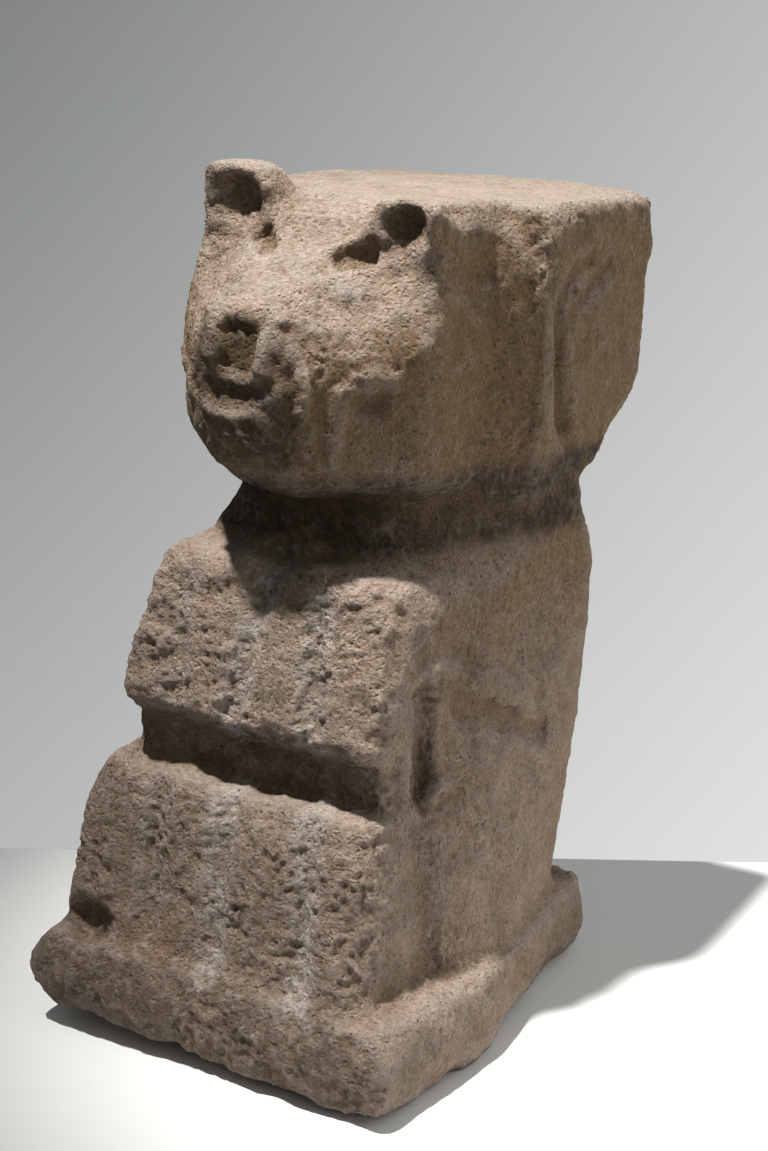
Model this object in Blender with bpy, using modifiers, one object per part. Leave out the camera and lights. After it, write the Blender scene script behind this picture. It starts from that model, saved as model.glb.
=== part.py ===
"""Seated animal carved in one with its low plinth from a single block of volcanic stone.

Metres, +Z up. The animal faces -Y. The origin is on the flat underside, at the middle of the
object's plan. The carving is set out square, in millimetres, with depths measured back from the
front of the plinth. Then it is leant a little to its left, as it stands on its uneven underside,
and cut flat where it meets the ground.
"""

from typing import NamedTuple

import bmesh
import bpy
from mathutils import Vector

NODE = "crouching_animal"
MM = 0.001

# Driving dimensions, in millimetres
FRONT = -124.0  # the plinth's front face, along Y
PLINTH_TOP = 37.0
FEET_TOP = 115.0
FEET_ASIDE = -5.0  # the feet stand a little to the animal's right
PAWS_FOOT = 142.0
PAWS_TOP = 212.0
JAW = 248.0
HEAD_TOP = 365.0
HOOD_DIP = 0.008  # radians about Y: the crown is lower on the animal's left
EAR_APART = 41.0
LEAN = 0.033  # radians about Y: the whole carving leans to the animal's left
LIFT = 5.7  # height of the plinth's square lower edge above the ground, at mid width
ASIDE = -0.8  # brings the middle of the leaning carving back over the origin

# How finely the joined stone is worked over
ARRIS_ANGLE = 0.35  # radians: corners sharper than this are knocked back
GRID = 2.4  # millimetres between points before the stone is thinned out
SOFTENING = 5  # passes that round the tool's edges
KEPT = 0.0695  # share of the triangles kept


class Level(NamedTuple):
    """One level of a block: its height, three depths, and the half width at each depth."""

    height: float
    depths: tuple  # front, shoulder and back
    halves: tuple
    right_halves: tuple = ()  # where the animal's right side, at -X, differs
    right_depths: tuple = ()


def clear_scene():
    for thing in list(bpy.data.objects):
        bpy.data.objects.remove(thing, do_unlink=True)


def new_collection(name):
    collection = bpy.data.collections.new(name)
    bpy.context.scene.collection.children.link(collection)
    return collection


def place(depth):
    """The Y of a depth behind the plinth's front."""
    return FRONT + depth


def plan(level):
    """The six corners of a level, counter-clockwise from above, from the front left one."""
    left = list(zip(level.halves, level.depths))
    right = list(zip(level.right_halves or level.halves, level.right_depths or level.depths))
    right = [(-x, depth) for x, depth in reversed(right)]
    return [Vector((x, place(depth), level.height)) * MM for x, depth in left + right]


def new_object(name, mesh, collection):
    piece = bpy.data.objects.new(name, mesh)
    collection.objects.link(piece)
    return piece


def block(name, levels, rounding, collection):
    """A roughed-out block: a loft through its levels, with its arrises knocked back."""
    shape = bmesh.new()
    rings = [[shape.verts.new(corner) for corner in plan(level)] for level in levels]
    count = len(rings[0])
    for lower, upper in zip(rings, rings[1:]):
        for i in range(count):
            j = (i + 1) % count
            shape.faces.new((lower[i], lower[j], upper[j], upper[i]))
    shape.faces.new(list(reversed(rings[0])))
    shape.faces.new(rings[-1])
    mesh = bpy.data.meshes.new(name)
    shape.to_mesh(mesh)
    shape.free()
    piece = new_object(name, mesh, collection)
    bevel = piece.modifiers.new("Arrises", "BEVEL")
    bevel.width = rounding * MM
    bevel.segments = 3
    bevel.limit_method = "ANGLE"
    bevel.angle_limit = ARRIS_ANGLE
    return piece


def ball(name, centre, radii, collection):
    """An ellipsoid with its centre as (x, depth, height)."""
    shape = bmesh.new()
    bmesh.ops.create_uvsphere(shape, u_segments=28, v_segments=16, radius=1.0)
    mesh = bpy.data.meshes.new(name)
    shape.to_mesh(mesh)
    shape.free()
    piece = new_object(name, mesh, collection)
    x, depth, height = centre
    piece.location = Vector((x, place(depth), height)) * MM
    piece.scale = Vector(radii) * MM
    return piece


def bar(name, points, radius, collection):
    """A round-nosed tool stroke along points given as (x, depth, height)."""
    curve = bpy.data.curves.new(name + "_path", "CURVE")
    curve.dimensions = "3D"
    curve.bevel_depth = radius * MM
    curve.bevel_resolution = 3
    curve.use_fill_caps = True
    spline = curve.splines.new("POLY")
    spline.points.add(len(points) - 1)
    for slot, (x, depth, height) in zip(spline.points, points):
        slot.co = (x * MM, place(depth) * MM, height * MM, 1.0)
    path = bpy.data.objects.new(name + "_path", curve)
    collection.objects.link(path)
    view = bpy.context.evaluated_depsgraph_get()
    mesh = bpy.data.meshes.new_from_object(path.evaluated_get(view))
    bpy.data.objects.remove(path, do_unlink=True)
    shape = bmesh.new()
    shape.from_mesh(mesh)
    bmesh.ops.remove_doubles(shape, verts=shape.verts, dist=1e-6)
    bmesh.ops.recalc_face_normals(shape, faces=shape.faces)
    shape.to_mesh(mesh)
    shape.free()
    return new_object(name, mesh, collection)


def plinth(collection):
    """A low slab with a rounded top edge, undercut all round where it nears the ground."""
    levels = [
        Level(-18, (36, 84, 194), (66, 78, 62), (60, 76, 62)),
        Level(-4, (24, 80, 204), (84, 92, 72), (68, 90, 72)),
        Level(0, (0, 80, 212), (94, 98, 79), (84, 97, 78)),
        Level(8, (-4, 80, 216), (97, 101, 82), (90, 101, 80)),
        Level(24, (-4, 80, 213), (97, 101, 81), (93, 102, 81)),
        Level(PLINTH_TOP, (2, 80, 211), (92, 98, 79), (84, 97, 79)),
    ]
    return block("plinth", levels, 6, collection)


def feet(collection):
    """The lower front block: four bent hind legs side by side, leaning back from the toes."""
    levels = [
        Level(30, (7, 50, 120), (81, 84, 78)),
        Level(58, (12, 50, 120), (79, 82, 76)),
        Level(FEET_TOP - 16, (19, 50, 120), (75, 77, 74)),
        Level(FEET_TOP, (26, 50, 120), (70, 74, 70)),
    ]
    mass = block("feet", levels, 7, collection)
    mass.location.x = FEET_ASIDE * MM
    return mass


def haunches(collection):
    """The body, from the plinth up through the haunches and the back to the neck."""
    levels = [
        Level(28, (60, 95, 190), (84, 94, 76)),
        Level(70, (62, 95, 194), (80, 90, 77)),
        Level(120, (66, 100, 202), (70, 80, 78)),
        Level(165, (70, 105, 208), (64, 72, 78)),
        Level(200, (72, 110, 206), (62, 70, 79)),
        Level(220, (68, 112, 197), (47, 62, 79)),
        Level(238, (70, 120, 190), (34, 57, 78)),
        Level(262, (70, 125, 188), (30, 56, 76)),
    ]
    return block("haunches", levels, 9, collection)


def paws(collection):
    """The forelegs, laid side by side over the knees; their ends hang as a square lip."""
    levels = [
        Level(PAWS_FOOT - 5, (36, 70, 115), (62, 68, 68)),
        Level(PAWS_FOOT + 3, (27, 70, 115), (67, 70, 68), (69, 71, 68)),
        Level(PAWS_FOOT + 30, (32, 70, 115), (68, 70, 68), (65, 68, 67)),
        Level(PAWS_TOP - 14, (40, 75, 115), (66, 69, 68), (62, 65, 66)),
        Level(PAWS_TOP, (50, 78, 115), (60, 64, 64), (59, 63, 63)),
    ]
    return block("paws", levels, 6, collection)


def knuckles(collection):
    """Two low mounds that round off the tops of the forelegs, one to each side of the middle."""
    mounds = {"left": (36.0, 66.0, 204.0), "right": (-34.0, 65.0, 203.0)}
    radii = (29.0, 25.0, 13.0)
    return [ball(f"{side}_knuckles", centre, radii, collection) for side, centre in mounds.items()]


def shin_wall(collection):
    """The sunk face between the feet and the forepaws."""
    levels = [
        Level(95, (42, 60, 110), (62, 66, 66), (67, 68, 66)),
        Level(160, (38, 60, 110), (60, 66, 66), (66, 68, 66)),
    ]
    return block("shin_wall", levels, 5, collection)


def head(collection):
    """The head: a wedge in plan, flat on top, with a brow that slopes down to the muzzle."""
    levels = [
        Level(JAW - 6, (56, 92, 165), (12, 50, 66), (8, 38, 64)),
        Level(JAW + 2, (35, 77, 165), (17, 57, 67), (10, 45, 66)),
        Level(262, (23, 72, 165), (18, 59, 67), (18, 54, 66), (22, 69, 165)),
        Level(276, (19, 69, 165), (20, 60, 66), (24, 62, 66), (18, 67, 165)),
        Level(298, (18, 67, 165), (21, 62, 66), (24, 63, 66)),
        Level(314, (19, 68, 165), (15, 61, 66), (23, 62, 66), (18, 67, 165)),
        Level(327, (26, 71, 165), (10, 59, 65), (17, 60, 65), (24, 67, 165)),
        Level(338, (47, 76, 165), (11, 57, 64), (15, 60, 64), (46, 70, 165)),
        Level(349, (67, 82, 165), (22, 59, 64), (22, 64, 64), (67, 78, 165)),
        Level(358, (80, 92, 165), (48, 61, 64), (50, 61, 64), (78, 86, 165)),
        Level(HEAD_TOP + 3, (94, 102, 165), (57, 60, 63)),
    ]
    return block("head", levels, 5, collection)


def hood(collection):
    """The wider mass behind the head, which hangs over the back; its crown dips to the left."""
    levels = [
        Level(236, (124, 150, 186), (62, 73, 74)),
        Level(249, (116, 142, 210), (64, 77, 76)),
        Level(259, (114, 140, 214), (64, 79, 76)),
        Level(270, (112, 138, 236), (64, 80, 77)),
        Level(284, (112, 138, 247), (64, 81, 76)),
        Level(304, (112, 138, 249), (64, 82, 74)),
        Level(330, (112, 138, 249), (64, 82, 74)),
        Level(345, (112, 138, 252), (64, 82, 75)),
        Level(HEAD_TOP + 2.5, (116, 138, 250), (62, 79, 73), (62, 79, 76)),
        Level(HEAD_TOP + 4.5, (172, 186, 250), (38, 42, 40), (14, 16, 18)),
    ]
    mass = block("hood", levels, 7, collection)
    mass.rotation_euler.y = HOOD_DIP
    mass.location.x = -HEAD_TOP * HOOD_DIP * MM
    return mass


def ear(name, side, top, collection):
    """A square, blunt ear on the head's front corner; its inner flank slopes down to the brow."""
    outer = ((15, 18, 15), (19, 20, 16), (17, 18, 13))
    inner = ((24, 26, 20), (15, 16, 12), (11, 11, 8))
    heights = (337, top - 7, top)
    depths = ((72, 84, 98), (67, 82, 96), (68, 80, 92))
    left, right = (outer, inner) if side > 0 else (inner, outer)
    levels = [Level(*rows) for rows in zip(heights, depths, left, right)]
    mass = block(name, levels, 4, collection)
    mass.location.x = side * EAR_APART * MM
    return mass


def hollows(collection):
    """Sunk places: ears, eyes, mouth, cheeks, one foot's end, and a corner lost from the crown."""
    places = {
        "right_ear_hollow": ((-36.0, 66.0, 363.0), (13.0, 7.0, 9.0)),
        "left_ear_hollow": ((45.0, 67.0, 359.0), (10.0, 7.0, 9.0)),
        "right_eye": ((-22.0, 63.0, 349.0), (7.0, 7.0, 5.5)),
        "left_eye": ((24.0, 65.0, 346.0), (10.0, 7.0, 5.5)),
        "mouth": ((-4.0, 17.0, 290.0), (17.0, 4.0, 7.5)),
        "left_cheek_panel": ((47.0, 45.0, 286.0), (8.0, 7.0, 7.0)),
        "right_cheek_panel": ((-46.0, 45.0, 286.0), (8.0, 7.0, 7.0)),
        "between_forelegs": ((0.0, 50.0, 220.0), (14.0, 19.0, 11.0)),
        "foot_end": ((-69.0, 9.0, 42.0), (16.0, 9.0, 11.0)),
        "crown_corner": ((88.0, 260.0, 380.0), (34.0, 34.0, 17.0)),
    }
    return [ball(name, centre, radii, collection) for name, (centre, radii) in places.items()]


def front_grooves(collection):
    """The lines that part the legs, on the forepaws and again on the feet."""
    grooves = []
    paw_lines = {
        "right": [(-42, 37, 206), (-41, 33, 188), (-37, 23.5, 148), (-37, 24, 133)],
        "middle": [(1, 61, 218), (1, 44, 214), (-2, 32.5, 188), (-7, 23.5, 146), (-7, 24, 133)],
        "left": [(30, 37, 207), (31, 33, 188), (34, 24, 148), (34, 24, 133)],
    }
    for side, line in paw_lines.items():
        grooves.append(bar(f"{side}_paw_groove", line, 5.5, collection))
    for i, x in enumerate((-38.0, -2.0, 43.0)):
        line = [(x, 25.5, FEET_TOP + 5), (x, 17.0, 103.0), (x, 11.5, 74.0), (x, 5.5, PLINTH_TOP + 4)]
        grooves.append(bar(f"foot_groove_{i}", line, 6.0, collection))
    return grooves


def side_grooves(name, side, collection):
    """On one flank (side is 1 or -1): the line behind the paw, under the haunch, and the hood's."""
    behind_paw = [(73, 61, 170), (71, 63, 160), (70, 65, 140), (70, 64, 116)]
    under_arch = [(79, 84, 156), (84.5, 108, 150), (88, 135, 138), (88, 165, 122)]
    roll = [(80, 204, 338), (82, 180, 328), (83, 160, 320), (84, 150, 303), (83, 154, 280), (82, 167, 261)]
    strokes = {"behind_paw": (behind_paw, 8.0), "under_arch": (under_arch, 14.0), "roll": (roll, 7.0)}
    marks = []
    for label, (points, radius) in strokes.items():
        points = [(side * x, depth, height) for x, depth, height in points]
        marks.append(bar(f"{name}_{label}", points, radius, collection))
    return marks


def join(name, masses, collection):
    """One object that holds every mass, still overlapping, ready to be skinned over."""
    view = bpy.context.evaluated_depsgraph_get()
    shape = bmesh.new()
    for mass in masses:
        mesh = bpy.data.meshes.new_from_object(mass.evaluated_get(view))
        mesh.transform(mass.matrix_world)
        shape.from_mesh(mesh)
        bpy.data.meshes.remove(mesh)
        bpy.data.objects.remove(mass, do_unlink=True)
    mesh = bpy.data.meshes.new(name)
    shape.to_mesh(mesh)
    shape.free()
    return new_object(name, mesh, collection)


def skin(stone, grid):
    """Fuses overlapping masses into one closed surface."""
    remesh = stone.modifiers.new("Skin", "REMESH")
    remesh.mode = "VOXEL"
    remesh.voxel_size = grid * MM


def soften(stone, passes):
    smooth = stone.modifiers.new("Soften", "SMOOTH")
    smooth.factor = 0.5
    smooth.iterations = passes


def thin_out(stone):
    decimate = stone.modifiers.new("Thin", "DECIMATE")
    decimate.ratio = KEPT
    decimate.use_collapse_triangulate = True


def cut_away(stone, tools):
    for tool in tools:
        cut = stone.modifiers.new(tool.name, "BOOLEAN")
        cut.operation = "DIFFERENCE"
        cut.solver = "EXACT"
        cut.object = tool
        tool.hide_render = True
        tool.display_type = "WIRE"


def ground_cutter(collection):
    """Everything below the level ground that the plinth stands on."""
    width = 0.4
    thickness = 0.1
    bpy.ops.mesh.primitive_cube_add(size=1.0, location=(0.0, 0.0, -thickness / 2))
    cutter = bpy.context.active_object
    cutter.name = "ground"
    cutter.scale = (width, width, thickness)
    for home in list(cutter.users_collection):
        home.objects.unlink(cutter)
    collection.objects.link(cutter)
    return cutter


def lean(*things):
    """Leans square-built objects over to the animal's left and lifts them onto the ground."""
    for thing in things:
        thing.rotation_euler.y = LEAN
        thing.location = Vector((ASIDE, 0.0, LIFT)) * MM


def stone_material():
    material = bpy.data.materials.new("stone")
    material.use_nodes = True
    shader = material.node_tree.nodes["Principled BSDF"]
    shader.inputs["Base Color"].default_value = (0.42, 0.35, 0.29, 1.0)
    shader.inputs["Roughness"].default_value = 0.92
    shader.inputs["Metallic"].default_value = 0.0
    return material


def main():
    clear_scene()
    sculpture = new_collection("crouching_animal_sculpture")
    tools = new_collection("tools")
    masses = [
        plinth(tools),
        feet(tools),
        haunches(tools),
        paws(tools),
        shin_wall(tools),
        head(tools),
        hood(tools),
        ear("left_ear", 1, 370, tools),
        ear("right_ear", -1, 379, tools),
    ] + knuckles(tools)
    marks = hollows(tools) + front_grooves(tools)
    marks += side_grooves("left", 1, tools) + side_grooves("right", -1, tools)
    chisel = join("chisel", marks, tools)
    skin(chisel, GRID)
    stone = join(NODE, masses, sculpture)
    lean(stone, chisel)
    skin(stone, GRID)
    cut_away(stone, [chisel])
    skin(stone, GRID)
    soften(stone, SOFTENING)
    thin_out(stone)
    cut_away(stone, [ground_cutter(tools)])
    stone.data.materials.append(stone_material())


main()
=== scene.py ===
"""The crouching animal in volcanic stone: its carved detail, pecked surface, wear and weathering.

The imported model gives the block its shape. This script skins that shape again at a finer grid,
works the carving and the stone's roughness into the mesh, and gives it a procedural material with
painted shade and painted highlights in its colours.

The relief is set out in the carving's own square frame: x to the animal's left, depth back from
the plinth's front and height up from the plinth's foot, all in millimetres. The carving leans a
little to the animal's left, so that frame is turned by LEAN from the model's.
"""

import itertools
import math

import bpy
import numpy as np
from mathutils import Matrix, Vector

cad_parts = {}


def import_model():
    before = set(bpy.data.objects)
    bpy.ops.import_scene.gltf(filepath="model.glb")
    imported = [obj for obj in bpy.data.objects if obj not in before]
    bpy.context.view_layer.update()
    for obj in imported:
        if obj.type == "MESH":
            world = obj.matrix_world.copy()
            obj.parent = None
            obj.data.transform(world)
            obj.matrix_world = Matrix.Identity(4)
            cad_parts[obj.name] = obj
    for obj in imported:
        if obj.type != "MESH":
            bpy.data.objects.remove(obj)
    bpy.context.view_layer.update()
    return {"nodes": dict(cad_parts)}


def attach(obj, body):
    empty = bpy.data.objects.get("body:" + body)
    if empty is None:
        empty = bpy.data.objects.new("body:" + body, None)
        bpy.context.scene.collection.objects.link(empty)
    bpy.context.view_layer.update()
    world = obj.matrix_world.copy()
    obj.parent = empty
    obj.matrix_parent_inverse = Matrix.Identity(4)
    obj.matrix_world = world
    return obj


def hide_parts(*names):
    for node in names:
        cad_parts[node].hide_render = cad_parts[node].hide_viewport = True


NODE = "crouching_animal"
PIECE = "crouching_animal_stone"
MM = 0.001

# The carving's own frame, as it stands in the model
LEAN = 0.033  # radians about Y
LIFT = 5.7
ASIDE = -0.8
FRONT = -124.0

# The mesh
GRID = 1.45  # millimetres between points while the relief is worked
SMOOTHING = 5  # passes that take the solid's facets out of the skin
CRISP_PASSES = 24  # how widely a corner is looked at when it is made crisp again
CRISPNESS = 0.55  # share of a corner's roundness that is given back
HEAD_SOFTER = 0.8  # share of that crispness which the worn head does without
MOST_CRISPED = 2.2  # millimetres
MOST_TRIANGLES = 192000

# Heights of the parts of the carving, in millimetres
PLINTH_TOP = 37.0
FEET_TOP = 115.0
PAWS_FOOT = 142.0
PAWS_TOP = 212.0
JAW = 248.0
CROWN = 365.0

# The worked surface
HOOD_RUBS = 14  # passes that soften the hood's front step
CHIP = 1.6  # millimetres that the chips on the arrises go in
CROWN_CHIP = 0.6  # millimetres more that they go in round the crown
DEEP_PIT = 0.35  # a hollow this many millimetres deep is coloured as a full pit


# ---------------------------------------------------------------- frames and small helpers


def to_carving(points):
    """Model points in metres as carving points in millimetres."""
    x, y, z = (points / MM).T
    x = x - ASIDE
    z = z - LIFT
    cos, sin = math.cos(LEAN), math.sin(LEAN)
    return np.stack([cos * x - sin * z, y - FRONT, sin * x + cos * z], axis=1)


def to_model(points):
    """Carving points in millimetres as model points in metres."""
    x, depth, height = points.T
    cos, sin = math.cos(LEAN), math.sin(LEAN)
    across = cos * x + sin * height + ASIDE
    up = cos * height - sin * x + LIFT
    return np.stack([across, depth + FRONT, up], axis=1) * MM


def ease(low, high, value):
    """0 below low, 1 above high, and a smooth rise between them."""
    share = np.clip((value - low) / (high - low), 0.0, 1.0)
    return share * share * (3.0 - 2.0 * share)


def within(value, low, high, edge):
    """1 between low and high, and a smooth fall to 0 over edge outside them."""
    return ease(low - edge, low, value) * (1.0 - ease(high, high + edge, value))


# ---------------------------------------------------------------- the stone's roughness


def scattered(cells, seed):
    """A number from 0 to 1 for each whole-number cell, always the same for that cell.

    The large numbers only mix the cell's digits thoroughly.
    """
    mixed = cells.astype(np.int64) @ np.array([73856093, 19349663, 83492791]) + seed * 668265263
    mixed = (mixed & 0x7FFFFFFF) * 1103515245 + 12345
    mixed = (mixed ^ (mixed >> 15)) & 0x7FFFFFFF
    mixed = mixed * 1274126177
    mixed = (mixed ^ (mixed >> 13)) & 0xFFFFFF
    return mixed / float(0xFFFFFF)


def lumps(points, size, seed):
    """Smooth noise from -1 to 1 whose lumps are about that size."""
    scaled = points / size
    base = np.floor(scaled)
    part = scaled - base
    part = part * part * (3.0 - 2.0 * part)
    total = np.zeros(len(points))
    for corner in itertools.product((0, 1), repeat=3):
        weight = np.prod(np.where(corner, part, 1.0 - part), axis=1)
        total += weight * scattered(base + corner, seed)
    return 2.0 * total - 1.0


def rough(points, size, seed, layers):
    """Noise with finer and fainter layers added, each half the size of the one before."""
    total = np.zeros(len(points))
    strength = 1.0
    for layer in range(layers):
        total += strength * lumps(points, size / 2**layer, seed + layer)
        strength *= 0.55
    return total


def pocks(points, size, seed):
    """How far each point is from the nearest scattered centre, as a share of their spacing."""
    scaled = points / size
    base = np.floor(scaled)
    nearest = np.full(len(points), 9.0)
    for offset in itertools.product((-1, 0, 1), repeat=3):
        cell = base + offset
        centre = cell + np.stack([scattered(cell, seed + axis) for axis in range(3)], axis=1)
        gap = np.sqrt(((scaled - centre) ** 2).sum(axis=1))
        nearest = np.minimum(nearest, gap)
    return nearest


def strayed(points, size, far, seed):
    """The points moved about a little, so that lines drawn on them look hand-made."""
    drift = np.stack([lumps(points, size, seed + axis) for axis in range(3)], axis=1)
    return points + far * drift


# ---------------------------------------------------------------- shapes of single marks


def from_line(points, line):
    """Distance to a line of (x, depth, height) points, and the share of the way along it."""
    line = np.array(line, dtype=float)
    lengths = np.linalg.norm(np.diff(line, axis=0), axis=1)
    done = np.concatenate([[0.0], np.cumsum(lengths)])
    best = np.full(len(points), 1e9)
    share = np.zeros(len(points))
    for start, end, length, before in zip(line, line[1:], lengths, done):
        along = np.clip(((points - start) @ (end - start)) / length**2, 0.0, 1.0)
        gap = np.linalg.norm(points - start - along[:, None] * (end - start), axis=1)
        closer = gap < best
        best = np.where(closer, gap, best)
        share = np.where(closer, (before + along * length) / done[-1], share)
    return best, share


def furrow(points, line, width, deep):
    """How far a round-bottomed groove along the line goes in; minus is a ridge."""
    gap, share = from_line(points, line)
    ends = within(share, 0.06, 0.94, 0.06)
    return -deep * (1.0 - ease(0.15, 1.0, gap / width)) * (0.35 + 0.65 * ends)


def dish(points, centre, radii, deep, rim=0.45, corners=2):
    """How far a hollow goes in; rim is its edge's share of it, and more corners make it squarer."""
    reach = ((np.abs(points - centre) / radii) ** corners).sum(axis=1) ** (1.0 / corners)
    return -deep * (1.0 - ease(1.0 - rim, 1.0, reach))


# ---------------------------------------------------------------- the mesh


class Stone:
    """The mesh while it is worked: carving-frame points, faces and outward normals."""

    def __init__(self, mesh):
        count = len(mesh.vertices)
        flat = np.empty(count * 3)
        mesh.vertices.foreach_get("co", flat)
        self.points = to_carving(flat.reshape(-1, 3))
        self.corners = np.empty(len(mesh.loops), dtype=np.int64)
        mesh.loops.foreach_get("vertex_index", self.corners)
        self.sizes = np.empty(len(mesh.polygons), dtype=np.int64)
        mesh.polygons.foreach_get("loop_total", self.sizes)
        edges = np.empty(len(mesh.edges) * 2, dtype=np.int64)
        mesh.edges.foreach_get("vertices", edges)
        self.edges = edges.reshape(-1, 2)
        self.neighbours = np.bincount(edges, minlength=count).astype(float)
        self.turn()

    def summed(self, indices, values):
        """Values added up at each vertex that the indices name."""
        count = len(self.points)
        columns = [np.bincount(indices, column, minlength=count) for column in values.T]
        return np.stack(columns, axis=1)

    def turn(self):
        """Works out the outward normals again."""
        starts = np.concatenate([[0], np.cumsum(self.sizes)[:-1]])
        total = np.zeros_like(self.points)
        for size in np.unique(self.sizes):
            rows = starts[self.sizes == size][:, None] + np.arange(size)
            loop = self.corners[rows]
            ring = self.points[loop]
            normal = np.cross(ring[:, 2] - ring[:, 0], ring[:, -1] - ring[:, 1])
            for column in range(size):
                total += self.summed(loop[:, column], normal)
        lengths = np.linalg.norm(total, axis=1, keepdims=True)
        self.normals = total / np.maximum(lengths, 1e-12)

    def averaged(self, values):
        """Each vertex's value as the mean of its neighbours'."""
        first, second = self.edges.T
        total = self.summed(first, values[second]) + self.summed(second, values[first])
        return total / self.neighbours[:, None]

    def soften(self, passes, share=None):
        """Relaxes the surface, by a share for each vertex."""
        for _ in range(passes):
            step = 0.5 * (self.averaged(self.points) - self.points)
            self.points = self.points + (step if share is None else step * share[:, None])
        self.turn()

    def sharpen(self, passes, share, most):
        """Brings back arrises and corners that were rounded off, by at most that many mm."""
        blurred = self.points
        for _ in range(passes):
            blurred = blurred + 0.5 * (self.averaged(blurred) - blurred)
        outward = ((self.points - blurred) * self.normals).sum(axis=1)
        self.push(np.clip(share * outward, -most, most))

    def push(self, amount):
        """Moves every vertex along its normal by its own amount of millimetres."""
        self.points = self.points + self.normals * amount[:, None]
        self.turn()


# ---------------------------------------------------------------- big forms


def forelegs_form(p):
    """Four rounded swellings across the forepaws, with valleys between them."""
    height = p[:, 2]
    front = within(p[:, 1], 0, 60, 8) * within(height, PAWS_FOOT - 4, PAWS_TOP + 8, 3)
    swell = np.zeros(len(p))
    for x, wide in ((-55, 13), (-18, 16), (14, 15), (50, 16)):
        swell += np.exp(-(((p[:, 0] - x) / wide) ** 2))
    return front * (1.6 * swell - 1.0)


def feet_form(p):
    """Four rounded swellings across the feet, and a wavering lip along their top."""
    height = p[:, 2]
    front = within(p[:, 1], -2, 34, 6) * within(height, PLINTH_TOP + 2, FEET_TOP + 8, 4)
    swell = np.zeros(len(p))
    for x, wide in ((-62, 15), (-20, 15), (18, 16), (62, 17)):
        swell += np.exp(-(((p[:, 0] - x) / wide) ** 2))
    crest = np.exp(-(((height - FEET_TOP) / 9) ** 2))
    return front * (1.5 * swell - 1.0 + crest * 2.2 * lumps(p, 17, 41))


def muzzle_form(p):
    """The sunk nose between its two wings, the lip pads and the bumps beside the mouth."""
    q = strayed(p, 6, 1.0, 51)
    nose = dish(q, (-3, 18, 308), (12, 12, 14), 5.0, 0.35, 4)
    wings = furrow(q, ((15, 27, 325), (12, 20, 313), (8, 18, 299)), 8.0, -2.8)
    wings += furrow(q, ((-21, 27, 325), (-16, 19, 314), (-13, 18, 302)), 7.0, -2.8)
    pads = dish(q, (20, 23, 309), (9, 9, 11), -2.4, 0.9)
    pads += dish(q, (-23, 22, 306), (8, 9, 12), -2.2, 0.9)
    bumps = furrow(q, ((25, 25, 302), (28, 26, 293), (27, 25, 283)), 5.0, -2.2)
    bumps += furrow(q, ((-26, 24, 302), (-28, 25, 293), (-27, 25, 284)), 5.0, -2.0)
    return nose + wings + pads + bumps


def mouth_form(p):
    """A sunk mouth, with an oval hole, a swelling at its corner, a lip and a nick in the chin."""
    q = strayed(p, 6, 0.9, 56)
    recess = dish(q, (-6, 18, 290), (16, 14, 9.5), 0.5, 0.3, 4)
    corner = dish(q, (18, 20, 290), (8, 12, 9), -1.4, 0.8)
    hole = dish(q, (-2, 20, 288), (7, 12, 5), 1.1, 0.6)
    lip = furrow(q, ((-20, 19, 285), (-14, 18, 281), (-2, 18, 280), (10, 18, 283)), 4.0, -1.8)
    chin = dish(q, (15, 20, 268), (7, 9, 3), 1.4, 0.8)
    return recess + corner + hole + lip + chin


def eyes_form(p):
    """Sunk eyes under a brow, each over a swelling of the cheek."""
    q = strayed(p, 8, 1.2, 61)
    left = furrow(q, ((14, 52, 338), (23, 65, 345), (32, 70, 346)), 8.0, 4.0)
    right = furrow(q, ((-16, 60, 344), (-27, 69, 351)), 7.0, 3.6)
    brows = furrow(q, ((12, 62, 348), (23, 74, 356), (36, 73, 352)), 6.0, -1.6)
    brows += furrow(q, ((-14, 70, 353), (-24, 76, 359)), 6.0, -1.4)
    cheeks = dish(q, (29, 53, 333), (14, 13, 9), -2.2, 0.9)
    cheeks += dish(q, (-31, 52, 334), (14, 13, 9), -2.0, 0.9)
    return left + right + brows + cheeks


def ears_form(p):
    """Hollows worn into the fronts of the ears, with ragged rims."""
    q = strayed(p, 7, 1.8, 71)
    right = dish(q, (-40, 69, 363), (18, 14, 13), 3.4, 0.6, 3)
    left = dish(q, (44, 70, 357), (15, 15, 15), 3.0, 0.8)
    rims = dish(p, (-38, 72, 366), (26, 20, 20), 1.0, 0.9)
    rims += dish(p, (45, 74, 360), (24, 20, 20), 1.0, 0.9)
    return right + left - 2.0 * rims * rough(p, 9, 73, 2)


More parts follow.
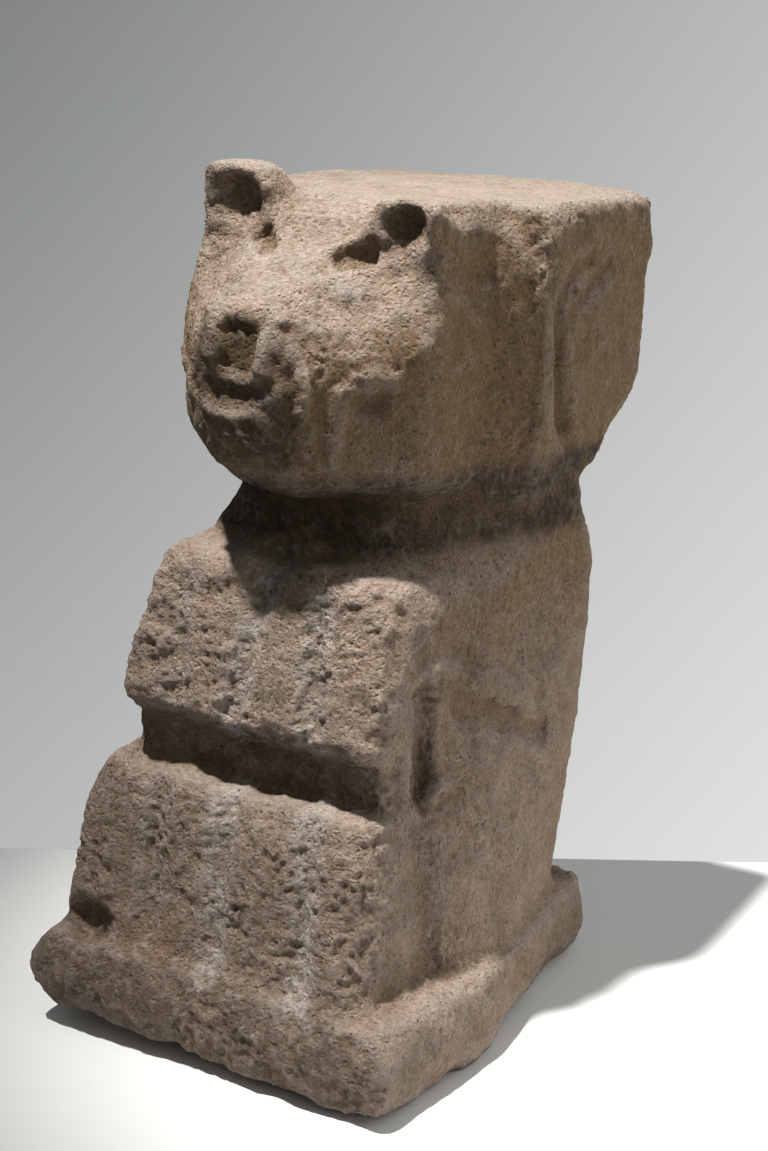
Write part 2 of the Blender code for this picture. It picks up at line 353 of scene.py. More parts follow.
def rounded_arrises(p):
    """Corners that wear has rounded the most, and the fullness left on jowls and paws."""
    q = strayed(p, 14, 1.5, 76)
    marks = np.zeros(len(p))
    for side in (1, -1):
        brow = ((side * 12, 27, 326), (side * 34, 50, 330), (side * 46, 68, 339))
        marks += furrow(q, brow, 14.0, 2.4)
        jowl = (
            (side * 35, 38, 302),
            (side * 49, 57, 310),
            (side * 57, 72, 322),
            (side * 58, 84, 336),
        )
        marks += furrow(q, jowl, 22.0, -1.7)
        marks += dish(q, (side * 34, 52, 204), (30, 16, 15), -3.2, 1.0)
        marks += dish(q, (side * 17, 50, 207), (17, 16, 13), -4.0, 1.0)
    marks += furrow(q, ((21, 19, 258), (22, 18, 282), (21, 18, 304), (15, 22, 322)), 13.0, 3.6)
    marks += furrow(q, ((-21, 19, 258), (-25, 18, 282), (-25, 18, 304), (-20, 22, 322)), 12.0, 2.6)
    marks += furrow(q, ((61, 50, 208), (65, 36, 178), (66, 28, 148)), 13.0, 3.0)
    marks += furrow(q, ((66, 25, 112), (70, 18, 80), (75, 9, 44)), 13.0, 3.0)
    marks += furrow(q, ((-64, 48, 206), (-66, 38, 180)), 10.0, 1.6)
    marks += furrow(q, ((61, 84, 368), (64, 106, 369), (69, 122, 367)), 12.0, 3.4)
    marks += furrow(p, ((64, 118, 371), (71, 125, 358), (78, 131, 340)), 5.5, 3.6)
    marks += furrow(q, ((78, 140, 369), (82, 160, 369), (84, 190, 368)), 9.0, 2.2)
    return marks


def foot_edge(p):
    """The ragged lower edge of the plinth."""
    return 2.4 * rough(p, 22, 86, 2) * within(p[:, 2], -8, 7, 7)


def cheek_lines(p):
    """On each side of the muzzle: a raised angle beside a sunk panel."""
    marks = np.zeros(len(p))
    for side in (1, -1):
        q = strayed(p * (side, 1, 1), 12, 0.8, 79)
        angle = ((34, 40, 258), (36, 37, 276), (37, 38, 293), (42, 44, 298), (54, 58, 297))
        band = furrow(q, angle, 6.0, -1.9)
        panel = dish(q, (47, 51, 287), (8, 9, 8), 1.2, 0.9)
        marks += band + panel
    return marks


def head_sides(p):
    """On each side: the long curl behind the head, a ridge before it and a swelling in it."""
    marks = np.zeros(len(p))
    for side in (1, -1):
        q = strayed(p * (side, 1, 1), 14, 1.2, 81)
        curl_top = ((79, 187, 341), (81, 158, 335), (82, 145, 322))
        curl_foot = ((80, 150, 301), (79, 157, 278), (77, 171, 259))
        marks += furrow(q, curl_top + curl_foot, 10.0, 4.6)
        marks += furrow(q, ((77, 131, 350), (80, 134, 300), (76, 137, 250)), 5.0, -1.0)
        marks += dish(q, (80, 193, 300), (12, 30, 34), -2.0, 0.9)
    return marks


def flank_lines(p):
    """On each flank: the groove behind the forepaw, the haunch's arch and swelling, the hollow
    under the arch, two ridges on the foot and the hollow low down by the plinth."""
    marks = np.zeros(len(p))
    for side in (1, -1):
        q = strayed(p * (side, 1, 1), 12, 1.2, 91)
        behind_paw = ((70, 66, 166), (69, 67, 150), (68, 67, 133), (68, 64, 114))
        marks += furrow(q, behind_paw, 15.0, -2.2) + furrow(q, behind_paw, 7.0, 4.0)
        arch = ((71, 64, 172), (73, 88, 169), (75, 112, 160), (77, 134, 147), (77, 150, 132))
        marks += furrow(q, arch, 10.0, -2.8)
        marks += furrow(q, ((69, 66, 106), (70, 66, 80), (72, 66, 50)), 13.0, -3.0)
        marks += furrow(q, ((67, 30, 114), (71, 58, 116), (73, 78, 121)), 7.0, -2.6)
        marks += dish(q, (78, 162, 124), (14, 20, 20), -2.6, 1.0)
        marks += dish(q, (77, 104, 138), (18, 40, 18), 2.6, 1.0)
        marks += dish(q, (84, 104, 54), (18, 28, 30), 4.0, 0.9)
    return marks


def big_forms(stone):
    """Works in the features that are cut or worn into the block."""
    p = stone.points
    amount = forelegs_form(p) + feet_form(p) + muzzle_form(p) + mouth_form(p) + eyes_form(p)
    amount += ears_form(p) + rounded_arrises(p) + cheek_lines(p) + head_sides(p) + flank_lines(p)
    amount += foot_edge(p) + 1.1 * rough(p, 38, 11, 3)
    stone.push(amount)


# ---------------------------------------------------------------- the worked surface


def leg_grooves(p):
    """The pecked lines between the legs, on the forepaws and on the feet."""
    q = strayed(p, 8, 1.3, 101)
    lines = (
        ((-42, 39, 205), (-41, 34, 188), (-37, 26, 146)),
        ((1, 50, 213), (-2, 35, 188), (-7, 26, 144)),
        ((30, 39, 206), (31, 34, 188), (34, 26, 146)),
        ((-42, 25, 117), (-40, 18, 100), (-36, 8, 44)),
        ((-4, 25, 117), (-3, 18, 100), (0, 8, 44)),
        ((39, 25, 117), (41, 18, 100), (46, 8, 44)),
    )
    return sum(furrow(q, line, 9.0, 2.0) for line in lines)


def roughness_share(p, normals):
    """How coarsely each place is pecked: least on the smooth crown, 1 on the legs' fronts."""
    facing = ease(0.2, 0.8, -normals[:, 1])
    legs = within(p[:, 2], -20, PAWS_TOP + 6, 6) * facing
    face = ease(250, 262, p[:, 2]) * ease(0.0, 0.6, -normals[:, 1])
    top = ease(0.75, 0.95, normals[:, 2]) * ease(CROWN - 22, CROWN - 6, p[:, 2])
    share = 0.45 + 0.55 * np.maximum(legs, 0.35 * face)
    return share * (1.0 - 0.85 * top)


def pecking(stone):
    """The dints of a hammered surface, crumbled more in some patches, with deeper pits."""
    p = stone.points
    share = roughness_share(p, stone.normals)
    crumbled = 0.65 + 0.6 * ease(-0.4, 0.5, rough(p, 17, 236, 2))
    bent = strayed(p, 5, 1.2, 206)
    dints = pocks(bent, 4.6, 201)
    small = pocks(strayed(p, 3, 0.8, 216) + 50.0, 2.7, 211)
    grain = rough(bent, 6.5, 221, 3)
    edges = np.maximum(1.0 - 2.0 * np.abs(lumps(bent, 4.5, 226)), -0.3)
    holes = pocks(p, 10.0, 231)
    crumbs = np.maximum(1.0 - 2.0 * np.abs(lumps(bent, 3.1, 246)), -0.3)
    amount = 0.6 * grain + 0.7 * edges + 0.7 * crumbs - 0.3 * (1.0 - ease(0.1, 0.62, dints))
    amount -= 0.2 * (1.0 - ease(0.1, 0.6, small))
    amount = amount * share * crumbled - 0.25 * (1.0 - ease(0.0, 0.13, holes))
    stone.push(amount)


def worn_edges(stone):
    """Knocks chips off the sharp arrises, fewer of them on fronts and before the hood."""
    p = stone.points
    bend = ((stone.averaged(p) - p) * stone.normals).sum(axis=1)
    bend = stone.averaged(stone.averaged(bend[:, None]))[:, 0]
    sharp = ease(0.02, 0.10, -bend)
    chips = ease(0.05, 0.5, rough(p, 9, 241, 2))
    crown = ease(CROWN - 16, CROWN - 4, p[:, 2])
    hood = within(p[:, 1], 92, 142, 8) * ease(300, 320, p[:, 2])
    fronts = ease(0.2, 0.7, -stone.normals[:, 1])
    spared = (1.0 - 0.8 * hood) * (1.0 - 0.65 * fronts)
    stone.push(-(CHIP + CROWN_CHIP * crown) * sharp * chips * spared)


def rub_hood(stone):
    """Smooths the shallow step between the back of the ear and the front of the hood."""
    p = stone.points
    step = within(p[:, 1], 98, 140, 8) * ease(290, 314, p[:, 2]) * ease(54, 62, np.abs(p[:, 0]))
    stone.soften(HOOD_RUBS, 1.6 * step)


def fine_relief(stone):
    """Works in the surface: wear first, then the carved grooves and the pecking over them."""
    rub_hood(stone)
    worn_edges(stone)
    stone.push(leg_grooves(stone.points))
    pecking(stone)


def applied(thing):
    """A new mesh of the object with its modifiers applied."""
    graph = bpy.context.evaluated_depsgraph_get()
    return bpy.data.meshes.new_from_object(thing.evaluated_get(graph))


def build_mesh(node):
    """The carved and pecked stone as a mesh in the model's frame."""
    base = bpy.data.objects.new("rough_block", node.data.copy())
    bpy.context.scene.collection.objects.link(base)
    remesh = base.modifiers.new("Skin", "REMESH")
    remesh.mode = "VOXEL"
    remesh.voxel_size = GRID * MM
    mesh = applied(base)
    bpy.data.objects.remove(base, do_unlink=True)
    stone = Stone(mesh)
    stone.soften(SMOOTHING)
    head = ease(JAW - 6, JAW + 10, stone.points[:, 2])
    stone.sharpen(CRISP_PASSES, CRISPNESS * (1.0 - HEAD_SOFTER * head), MOST_CRISPED)
    big_forms(stone)
    fine_relief(stone)
    points = to_model(stone.points)
    points[:, 2] = np.maximum(points[:, 2], 0.0)
    mesh.vertices.foreach_set("co", points.ravel())
    mesh.update()
    return mesh


def thinned(mesh):
    """The mesh brought down to at most MOST_TRIANGLES triangles."""
    carrier = bpy.data.objects.new("carrier", mesh)
    bpy.context.scene.collection.objects.link(carrier)
    triangles = sum(len(face.vertices) - 2 for face in mesh.polygons)
    thin = carrier.modifiers.new("Thin", "DECIMATE")
    thin.ratio = min(1.0, MOST_TRIANGLES / triangles)
    thin.use_collapse_triangulate = True
    result = applied(carrier)
    bpy.data.objects.remove(carrier, do_unlink=True)
    return result


# ---------------------------------------------------------------- where the colour changes


def pale_streaks_and_highlight(p):
    """Pale dust in the lines between the legs, and a painted highlight on the swelling under the
    left eye.
    """
    q = strayed(p, 6, 2.0, 301) * (1.0, 0.25, 1.0)
    lines = (
        ((1, 45, 208), (-2, 34, 186), (-8, 25, 142), 1.0),
        ((30, 38, 202), (31, 33, 186), (34, 26, 142), 0.9),
        ((-41, 36, 200), (-39, 30, 170), (-37, 26, 148), 0.5),
        ((-6, 22, 112), (-3, 16, 92), (1, 7, 40), 1.0),
        ((39, 22, 112), (42, 17, 92), (47, 8, 40), 0.9),
        ((-41, 22, 108), (-39, 16, 80), (-36, 8, 44), 0.4),
    )
    share = np.zeros(len(p))
    for first, second, third, strength in lines:
        line = np.array((first, second, third)) * (1.0, 0.25, 1.0)
        gap, _ = from_line(q, line)
        share = np.maximum(share, strength * (1.0 - ease(2.0, 11.0, gap)))
    share *= 1.0 - ease(52, 60, p[:, 1])
    # A painted highlight on the swelling under the left eye.
    share = np.maximum(share, spots(p, (((30, 52, 333), (12, 12, 8), 0.7),)))
    return share * (0.5 + 0.5 * ease(-0.5, 0.3, rough(p, 4.5, 311, 2)))


def rubbed_and_highlit(p):
    """Pale ridges: worn paler on the angles on the cheeks and on the hood's edge, and painted
    highlight on the nose's wings, the bumps beside the mouth and the top of the foot."""
    mirrored = np.stack([np.abs(p[:, 0]), p[:, 1], p[:, 2]], axis=1)
    q = strayed(mirrored, 6, 1.0, 316)
    lines = (
        (((34, 40, 258), (36, 37, 276), (37, 38, 293), (42, 44, 298), (54, 58, 297)), 6.0, 0.2),
        (((14, 26, 324), (11, 19, 313), (7, 17, 300)), 5.0, 0.4),
        (((25, 24, 302), (28, 25, 293), (27, 24, 283)), 5.0, 0.3),
        (((76, 131, 352), (80, 136, 300), (76, 150, 256)), 6.0, 0.2),
        (((68, 34, 116), (71, 58, 117), (73, 76, 121)), 5.0, 0.45),
    )
    share = np.zeros(len(p))
    for line, width, strength in lines:
        gap, _ = from_line(q, line)
        share = np.maximum(share, strength * (1.0 - ease(1.0, width, gap)))
    return share


def dust_and_highlight(p, normals):
    """Pale dust on what faces up, and pale ridges that are partly worn and partly painted
    highlight.
    """
    flat = ease(0.55, 0.95, normals[:, 2]) * (0.28 + 0.25 * ease(300, 320, p[:, 2]))
    return np.maximum(flat, rubbed_and_highlit(p))


def patina_and_shade(p, normals):
    """Brown weathering on the sides and back, stronger higher up, and brown painted shade on the
    face's front and under the jaw.
    """
    side = ease(0.25, 0.85, np.abs(normals[:, 0])) + ease(0.2, 0.8, normals[:, 1])
    high = ease(90, 268, p[:, 2])
    # Painted shade: the face's front and the band under the jaw are browned because they stand in
    # shade.
    face = ease(250, 262, p[:, 2]) * (1.0 - ease(325, 335, p[:, 2]))
    face *= ease(0.3, 0.8, -normals[:, 1])
    under = 0.8 * ease(214, 226, p[:, 2]) * (1.0 - ease(244, 256, p[:, 2]))
    legs = (1.0 - ease(60, 76, p[:, 1])) * (1.0 - ease(206, 222, p[:, 2]))
    share = np.clip(side, 0, 1) * (0.35 + 0.65 * high) * (1.0 - 0.7 * legs)
    share *= 1.0 - 0.8 * ease(0.0, 0.4, normals[:, 2])
    face *= 0.8 - 0.6 * ease(0.1, 0.5, normals[:, 2])
    strongest = np.maximum.reduce([share, face, under])
    return np.clip(strongest + 0.18 * rough(p, 45, 321, 3), 0, 1)


def painted_shade(p, normals):
    """Painted shade, darkening what stands in shade: on the plinth, on the legs' fronts and the
    wall between them, on the neck under the jaw and down the middle of the face."""
    front = ease(0.2, 0.7, -normals[:, 1])
    plinth = 0.55 * within(p[:, 2], -20, PLINTH_TOP - 1, 5) * (0.35 + 0.65 * front)
    feet = 0.26 * within(p[:, 2], PLINTH_TOP, FEET_TOP - 2, 8) * front
    paws = 0.04 * within(p[:, 2], PAWS_FOOT, PAWS_TOP - 8, 8) * front
    wall = 0.6 * within(p[:, 2], FEET_TOP + 4, PAWS_FOOT - 2, 5) * front
    neck = 0.95 * within(p[:, 2], 224, JAW + 2, 10)
    face = 0.62 * within(p[:, 2], 262, 318, 8) * front * (1.0 - ease(20, 30, np.abs(p[:, 0])))
    share = np.maximum.reduce([plinth, feet, paws, wall, neck, face - rubbed_and_highlit(p)])
    return np.clip(share * (1.0 + 0.35 * rough(p, 24, 326, 3)), 0, 1)


def spots(p, places):
    """The strongest of several soft spots, each a centre, radii and strength."""
    q = strayed(p, 10, 4.0, 331)
    share = np.zeros(len(p))
    for centre, radii, strength in places:
        reach = np.sqrt((((q - centre) / radii) ** 2).sum(axis=1))
        share = np.maximum(share, strength * (1.0 - ease(0.35, 1.0, reach)))
    return share * (0.6 + 0.4 * ease(-0.5, 0.4, rough(p, 5, 341, 2)))


def rust(p):
    """Rusty patches: low on a foot, under the jaw, along the plinth's side and by the ear."""
    return spots(
        p,
        (
            ((-33, 8, 44), (22, 14, 16), 0.75),
            ((58, 78, 243), (22, 20, 6), 0.9),
            ((92, 60, 22), (10, 40, 12), 0.35),
            ((96, 120, 24), (10, 30, 10), 0.4),
            ((66, 122, 352), (8, 24, 12), 0.3),
        ),
    )


def lichen_and_shade(p):
    """Olive-brown crusts on the hood's rim, the right ear's top and a foot; olive-brown painted
    shade in the nose, eyes and ears' hollows, on the left ear's front and under the haunch's arch.
    """
    return spots(
        p,
        (
            ((62, 104, 365), (18, 32, 13), 1.0),
            ((78, 128, 352), (12, 12, 20), 0.6),
            ((82, 176, 365), (12, 64, 12), 0.9),
            ((-58, 30, 80), (24, 30, 34), 0.35),
            # The next five spots are painted shade in the nose, the eyes and the ears' hollows.
            ((-3, 22, 311), (15, 14, 16), 0.95),
            ((23, 66, 345), (12, 12, 6), 0.9),
            ((-24, 67, 350), (8, 10, 6), 0.9),
            ((44, 74, 358), (13, 10, 11), 0.6),
            ((-38, 74, 364), (15, 10, 11), 0.7),
            ((-58, 66, 372), (14, 14, 20), 0.8),
            # The next two spots are painted shade under the haunch's arch and on the left ear's
            # front.
            ((72, 90, 168), (10, 34, 12), 0.6),
            ((44, 66, 368), (20, 12, 8), 0.5),
        ),
    )


def recess_shade(p):
    """Bluish-grey painted shade in recesses: the cheek panels and curls, the mouth and chin, low on
    the legs and plinth, and the left temple."""
    return spots(
        p,
        (
            ((47, 45, 289), (9, 12, 7), 0.8),
            ((-47, 45, 289), (9, 12, 7), 0.8),
            ((14, 21, 268), (8, 6, 3.5), 0.9),
            ((0, 20, 288), (26, 10, 8), 0.9),
            ((80, 148, 306), (8, 10, 34), 0.7),
            ((-80, 148, 306), (8, 10, 34), 0.7),
            ((52, 27, 146), (7, 8, 6), 0.5),
            ((-78, 12, 42), (14, 12, 6), 0.8),
            ((82, 106, 52), (10, 24, 22), 0.45),
            ((60, 68, 340), (12, 10, 16), 0.5),
        ),
    )


def cavities(stone):
    """How far each point lies in a hollow, from -1 on a peak to 1 in a pit."""
    level = stone.points
    for _ in range(3):
        level = stone.averaged(level)
    depth = ((level - stone.points) * stone.normals).sum(axis=1)
    return np.clip(depth / DEEP_PIT, -1, 1)


def colour_layers(mesh):
    """Stores, at each vertex, how strongly each colouring shows there."""
    stone = Stone(mesh)
    p, normals = stone.points, stone.normals
    crusts_and_shade = lichen_and_shade(p)
    layers = {
        "dust_and_highlight": dust_and_highlight(p, normals) * (1.0 - 0.8 * crusts_and_shade),
        "streaks_and_highlight": pale_streaks_and_highlight(p),
        "patina_and_shade": patina_and_shade(p, normals),
        "painted_shade": painted_shade(p, normals),
        "rust": rust(p),
        "lichen_and_shade": crusts_and_shade,
        "recess_shade": recess_shade(p),
        "cavity": cavities(stone),
    }
    for name, values in layers.items():
        layer = mesh.attributes.new(name, "FLOAT", "POINT")
        layer.data.foreach_set("value", values.astype(np.float32))


# ---------------------------------------------------------------- material


def set_range(node, low, high, out_low=0.0, out_high=1.0):
    """Sets what a Map Range node takes in and what it gives out."""
    node.inputs["From Min"].default_value = low
    node.inputs["From Max"].default_value = high
    node.inputs["To Min"].default_value = out_low
    node.inputs["To Max"].default_value = out_high


class Nodes:
    """Short ways to add nodes to one material's tree."""

    def __init__(self, material):
        material.use_nodes = True
        self.tree = material.node_tree
        self.shader = self.tree.nodes["Principled BSDF"]
        self.place = self.tree.nodes.new("ShaderNodeTexCoord").outputs["Object"]

    def new(self, kind, **inputs):
        """A node of that kind, with its inputs fed by name; _ stands for a space."""
        node = self.tree.nodes.new(kind)
        for name, value in inputs.items():
            self.feed(node.inputs[name.replace("_", " ")], value)
        return node

    def feed(self, socket, value):
        """Links another node's output to the socket, or sets the socket to a plain value."""
        if isinstance(value, bpy.types.NodeSocket):
            self.tree.links.new(value, socket)
        else:
            socket.default_value = value

    def layer(self, name):
        """The numbers that colour_layers stored on the mesh under that name."""
        node = self.tree.nodes.new("ShaderNodeAttribute")
        node.attribute_name = name
        return node.outputs["Fac"]

    def noise(self, size, detail, roughness=0.55):
        """Noise with lumps of about that many millimetres."""
        node = self.new("ShaderNodeTexNoise", Vector=self.place, Scale=1000.0 / size, Detail=detail)
        node.inputs["Roughness"].default_value = roughness
        return node.outputs["Fac"]

    def cells(self, size, place=None):
        """How far it is to the middle of the nearest of many scattered cells of that size."""
        node = self.new("ShaderNodeTexVoronoi", Vector=place or self.place, Scale=1000.0 / size)
        return node.outputs["Distance"]

    def shaken(self, size, far):
        """The place pushed about by up to that many mm, so that cells lose their even look."""
        noise = self.new("ShaderNodeTexNoise", Vector=self.place, Scale=1000.0 / size)
        push = self.tree.nodes.new("ShaderNodeVectorMath")
        push.operation = "MULTIPLY_ADD"
        self.feed(push.inputs[0], noise.outputs["Color"])
        push.inputs[1].default_value = (far * MM, far * MM, far * MM)
        self.feed(push.inputs[2], self.place)
        return push.outputs["Vector"]

    def band(self, value, low, high, out_low=0.0, out_high=1.0):
        """The value brought smoothly from one range to another."""
        node = self.new("ShaderNodeMapRange", Value=value)
        node.interpolation_type = "SMOOTHSTEP"
        set_range(node, low, high, out_low, out_high)
        return node.outputs["Result"]

    def maths(self, operation, first, second):
        """One step of arithmetic on two values, each a number or another node's output."""
        node = self.tree.nodes.new("ShaderNodeMath")
        node.operation = operation
        self.feed(node.inputs[0], first)
        self.feed(node.inputs[1], second)
        return node.outputs["Value"]

    def patchy(self, name, size, detail, high, least, most):
        """A stored layer whose strength noise varies between least and most."""
        layer = self.layer(name)
        patches = self.band(self.noise(size, detail), 0.3, high, least, most)
        return self.maths("MULTIPLY", layer, patches)

    def mix(self, share, first, second, blend="MIX"):
        """The first colour with a share of the second."""
        node = self.tree.nodes.new("ShaderNodeMix")
        node.data_type = "RGBA"
        node.blend_type = blend
        self.feed(node.inputs["Factor"], share)
        self.feed(node.inputs[6], first)
        self.feed(node.inputs[7], second)
        return node.outputs[2]


# The stone's colours, red, green and blue
PINKISH = (0.375, 0.288, 0.230, 1)
GREYISH = (0.302, 0.236, 0.186, 1)
BROWN = (0.298, 0.204, 0.122, 1)
DARK_BROWN = (0.22, 0.150, 0.090, 1)
# A near-black brown for the painted shade.
PAINTED_SHADE_COLOUR = (0.068, 0.052, 0.040, 1)
PALE = (0.41, 0.362, 0.322, 1)
WHITISH = (0.49, 0.46, 0.43, 1)
RUSTY = (0.24, 0.12, 0.05, 1)
# Olive for crusts and for painted shade in the nose, eyes and ears.
OLIVE = (0.12, 0.09, 0.045, 1)
# A dark bluish grey for painted shade in recesses.
BLUE_GREY = (0.085, 0.078, 0.076, 1)
FLECK = (0.40, 0.36, 0.33, 1)
PIT = (0.045, 0.033, 0.024, 1)


def stone_colour(nodes):
    """The bare stone, browned with weathering and painted shade, then painted shade, rust and olive
    crusts, bluish-grey painted shade in recesses, and pale dust, lines and painted highlights over
    all.
    """
    fresh = nodes.mix(nodes.band(nodes.noise(14, 5), 0.38, 0.62), GREYISH, PINKISH)
    brown_tone = nodes.mix(nodes.band(nodes.noise(8, 6), 0.25, 0.75), DARK_BROWN, BROWN)
    unevenness = nodes.band(nodes.noise(22, 4), 0.3, 0.7, -0.12, 0.12)
    browning = nodes.maths("ADD", nodes.layer("patina_and_shade"), unevenness)
    colour = nodes.mix(nodes.band(browning, 0.05, 0.95), fresh, brown_tone)
    # Painted shade darkens the colour where the stone stands in shade.
    colour = nodes.mix(nodes.patchy("painted_shade", 9, 5, 0.65, 0.55, 1.0), colour, PAINTED_SHADE_COLOUR)
    # Rust is a stain; the olive layer is crusts and painted shade; the bluish-grey layer is painted
    # shade in recesses.
    stains_and_shade = (("rust", RUSTY, 0.8), ("lichen_and_shade", OLIVE, 0.7), ("recess_shade", BLUE_GREY, 0.7))
    for name, tint, most in stains_and_shade:
        share = nodes.patchy(name, 5, 4, 0.6, 0.4 * most, most)
        colour = nodes.mix(share, colour, tint)
    # Pale dust, with painted highlight on the nose's wings, the bumps beside the mouth and the
    # foot's top.
    colour = nodes.mix(nodes.patchy("dust_and_highlight", 3.5, 5, 0.65, 0.45, 0.9), colour, PALE)
    # Pale lines between the legs, and a painted highlight under the left eye.
    return nodes.mix(nodes.patchy("streaks_and_highlight", 3, 5, 0.6, 0.45, 0.9), colour, WHITISH)


def grained(nodes, colour):
    """Peaks worn paler, hollows darkened as painted shade, and the grains and holes of the stone
    itself.
    """
    cavity = nodes.layer("cavity")
    # Painted shade: hollows are darkened towards dark brown.
    colour = nodes.mix(nodes.band(cavity, 0.0, 1.0, 0.0, 0.45), colour, DARK_BROWN)
    colour = nodes.mix(nodes.band(cavity, -1.0, 0.0, 0.24, 0.0), colour, PALE)
    speckle = nodes.band(nodes.noise(1.7, 3, 0.75), 0.38, 0.62, 0.82, 1.15)
    colour = nodes.mix(1.0, colour, speckle, "MULTIPLY")
    flecks = nodes.band(nodes.cells(3.4), 0.05, 0.14, 0.15, 0.0)
    colour = nodes.mix(flecks, colour, FLECK)
    holes = nodes.band(nodes.cells(6.0), 0.06, 0.13, 0.7, 0.0)
    return nodes.mix(holes, colour, PIT)


def stone_bump(nodes):
    """The grain that is finer than the mesh."""
    grain = nodes.maths("MULTIPLY", nodes.noise(1.3, 4, 0.75), 1.5)
    uneven_cells = nodes.cells(2.6, nodes.shaken(3.0, 4.0))
    dints = nodes.maths("MULTIPLY", nodes.band(uneven_cells, 0.05, 0.55), 0.8)
    holes = nodes.maths("MULTIPLY", nodes.band(nodes.cells(6.0), 0.06, 0.16), 0.5)
    height = nodes.maths("ADD", nodes.maths("ADD", grain, dints), holes)
    bump = nodes.new("ShaderNodeBump", Height=height, Strength=1.0, Distance=0.0012)
    return bump.outputs["Normal"]


def stone_material():
    """Dull, dry stone with its colours and its grain."""
    material = bpy.data.materials.new("volcanic_stone")
    nodes = Nodes(material)
    nodes.shader.inputs["Roughness"].default_value = 0.92
    nodes.shader.inputs["Specular IOR Level"].default_value = 0.3
    nodes.feed(nodes.shader.inputs["Base Color"], grained(nodes, stone_colour(nodes)))
    nodes.feed(nodes.shader.inputs["Normal"], stone_bump(nodes))
    return material


# ---------------------------------------------------------------- floor, light and camera


def floor():
    """A pale table top whose far edge runs behind the sculpture."""
    material = bpy.data.materials.new("floor")
    material.use_nodes = True
    shader = material.node_tree.nodes["Principled BSDF"]
    shader.inputs["Base Color"].default_value = (0.79, 0.80, 0.80, 1)
    shader.inputs["Roughness"].default_value = 0.8
    edge_middle = Vector((-0.068, 0.127, 0.0))
    along_edge = Vector((0.852, 0.523, 0.0))
    towards_view = Vector((0.523, -0.852, 0.0))
    reach = 3.0
    corners = [
        edge_middle - reach * along_edge,
        edge_middle - reach * along_edge + reach * towards_view,
        edge_middle + reach * along_edge + reach * towards_view,
        edge_middle + reach * along_edge,
    ]
    mesh = bpy.data.meshes.new("floor")
    mesh.from_pydata(corners, [], [(0, 1, 2, 3)])
    mesh.materials.append(material)
    slab = bpy.data.objects.new("floor", mesh)
    bpy.context.scene.collection.objects.link(slab)


def key_light():
    """A spotlight high in front and a little to the animal's right, lighting a pool round it."""
    distance = 6.0
    pool_radius = 0.30
    brightness = 6.5
    aim = Vector((0.10, 0.04, 0.15))
    travel = Vector((0.14, 0.26, -1.0)).normalized()
    lamp = bpy.data.lights.new("key", "SPOT")
    lamp.energy = brightness * 4.0 * math.pi * distance**2
    lamp.spot_size = 2.0 * math.atan(pool_radius / distance)
    lamp.spot_blend = 0.6
    lamp.shadow_soft_size = 0.16
    lamp.color = (1.0, 0.975, 0.95)
    key = bpy.data.objects.new("key", lamp)
    key.location = aim - distance * travel
    key.rotation_euler = travel.to_track_quat("-Z", "Y").to_euler()
    bpy.context.scene.collection.objects.link(key)


def room_colours(tree):
    """A colour ramp from the room's dark side to its bright one."""
    ramp = tree.nodes.new("ShaderNodeValToRGB")
    ramp.color_ramp.elements[0].position = 0.0
    ramp.color_ramp.elements[0].color = (0.20, 0.206, 0.21, 1)
    ramp.color_ramp.elements[1].position = 1.0
    ramp.color_ramp.elements[1].color = (1.2, 1.2, 1.17, 1)
    seen_side = ramp.color_ramp.elements.new(0.33)
    seen_side.color = (0.53, 0.54, 0.53, 1)
    return ramp


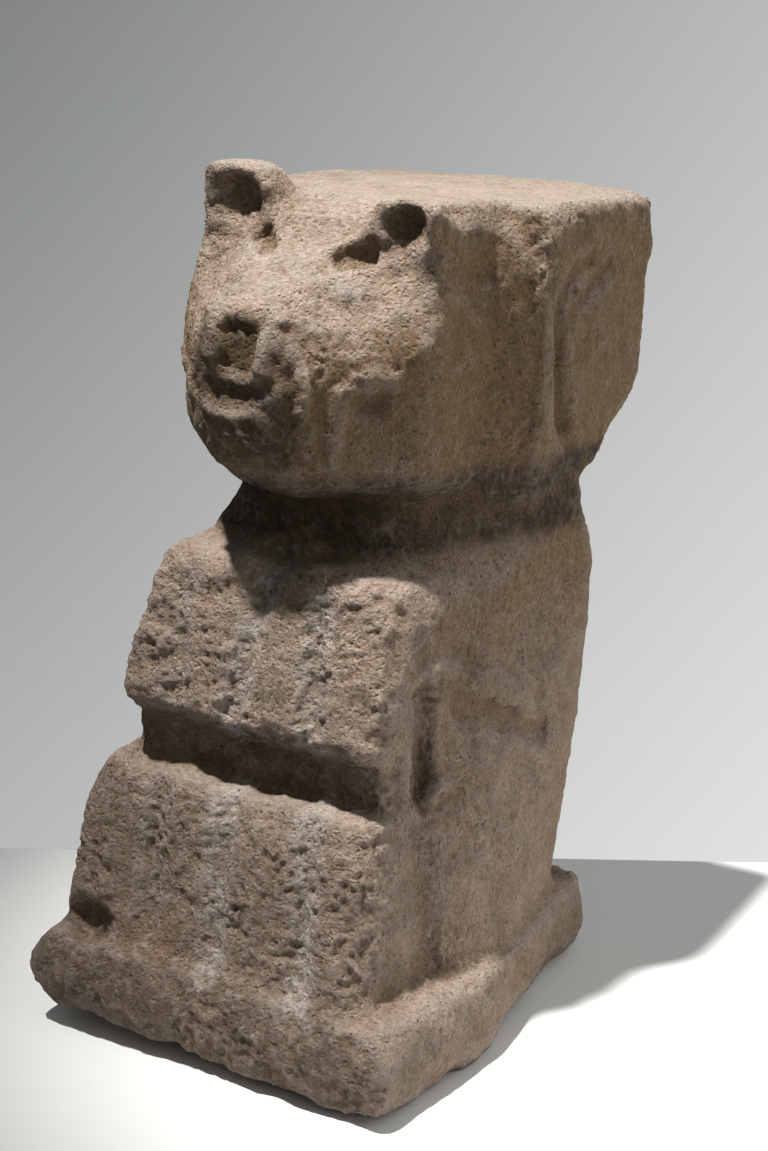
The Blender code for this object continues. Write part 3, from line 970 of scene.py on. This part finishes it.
def surroundings():
    """A plain grey room: brighter low down and on the animal's left, darker ahead of it."""
    world = bpy.data.worlds.new("room")
    world.use_nodes = True
    tree = world.node_tree
    background = tree.nodes["Background"]
    place = tree.nodes.new("ShaderNodeTexCoord")
    split = tree.nodes.new("ShaderNodeSeparateXYZ")
    tree.links.new(place.outputs["Generated"], split.inputs["Vector"])
    ramp = room_colours(tree)
    sideways = tree.nodes.new("ShaderNodeMath")
    sideways.operation = "MULTIPLY_ADD"
    sideways.inputs[1].default_value = -0.65  # times the height, plus the way to the left
    tree.links.new(split.outputs["Z"], sideways.inputs[0])
    tree.links.new(split.outputs["X"], sideways.inputs[2])
    spread = tree.nodes.new("ShaderNodeMapRange")
    set_range(spread, -0.72, 0.75)
    tree.links.new(sideways.outputs["Value"], spread.inputs["Value"])
    tree.links.new(spread.outputs["Result"], ramp.inputs["Fac"])
    tree.links.new(ramp.outputs["Color"], background.inputs["Color"])
    ahead = tree.nodes.new("ShaderNodeMapRange")
    set_range(ahead, -0.75, 0.15, 0.28, 1.0)
    tree.links.new(split.outputs["Y"], ahead.inputs["Value"])
    tree.links.new(ahead.outputs["Result"], background.inputs["Strength"])
    bpy.context.scene.world = world
    bpy.context.scene.view_settings.view_transform = "Standard"
    bpy.context.scene.view_settings.look = "Medium High Contrast"


def camera():
    """The view: from the animal's left and above, with a long lens and a little roll."""
    azimuth = math.radians(31.423372)
    pitch = math.radians(14.180133)
    roll = math.radians(1.128434)
    place = Vector((0.47967782, -0.76025368, 0.42437506))
    right = Vector((math.cos(azimuth), math.sin(azimuth), 0.0))
    level = Vector((-math.sin(azimuth), math.cos(azimuth), 0.0))
    forward = math.cos(pitch) * level - math.sin(pitch) * Vector((0.0, 0.0, 1.0))
    up = right.cross(forward)
    turned_right = math.cos(roll) * right + math.sin(roll) * up
    turned_up = math.cos(roll) * up - math.sin(roll) * right
    lens = bpy.data.cameras.new("camera")
    lens.sensor_fit = "VERTICAL"
    lens.sensor_height = 36.0
    lens.lens = 62.55
    lens.clip_start = 0.01
    seen_from = bpy.data.objects.new("camera", lens)
    axes = Matrix((turned_right, turned_up, -forward)).transposed().to_4x4()
    axes.translation = place
    seen_from.matrix_world = axes
    bpy.context.scene.collection.objects.link(seen_from)
    bpy.context.scene.camera = seen_from


def main():
    """Puts the finished stone, the floor, the light and the camera into the scene."""
    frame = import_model()
    node = frame["nodes"][NODE]
    mesh = thinned(build_mesh(node))
    mesh.materials.clear()
    mesh.materials.append(stone_material())
    colour_layers(mesh)
    mesh.polygons.foreach_set("use_smooth", np.ones(len(mesh.polygons), dtype=bool))
    sculpture = bpy.data.objects.new(PIECE, mesh)
    bpy.context.scene.collection.objects.link(sculpture)
    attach(sculpture, "root")
    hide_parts(NODE)
    floor()
    key_light()
    surroundings()
    camera()


main()
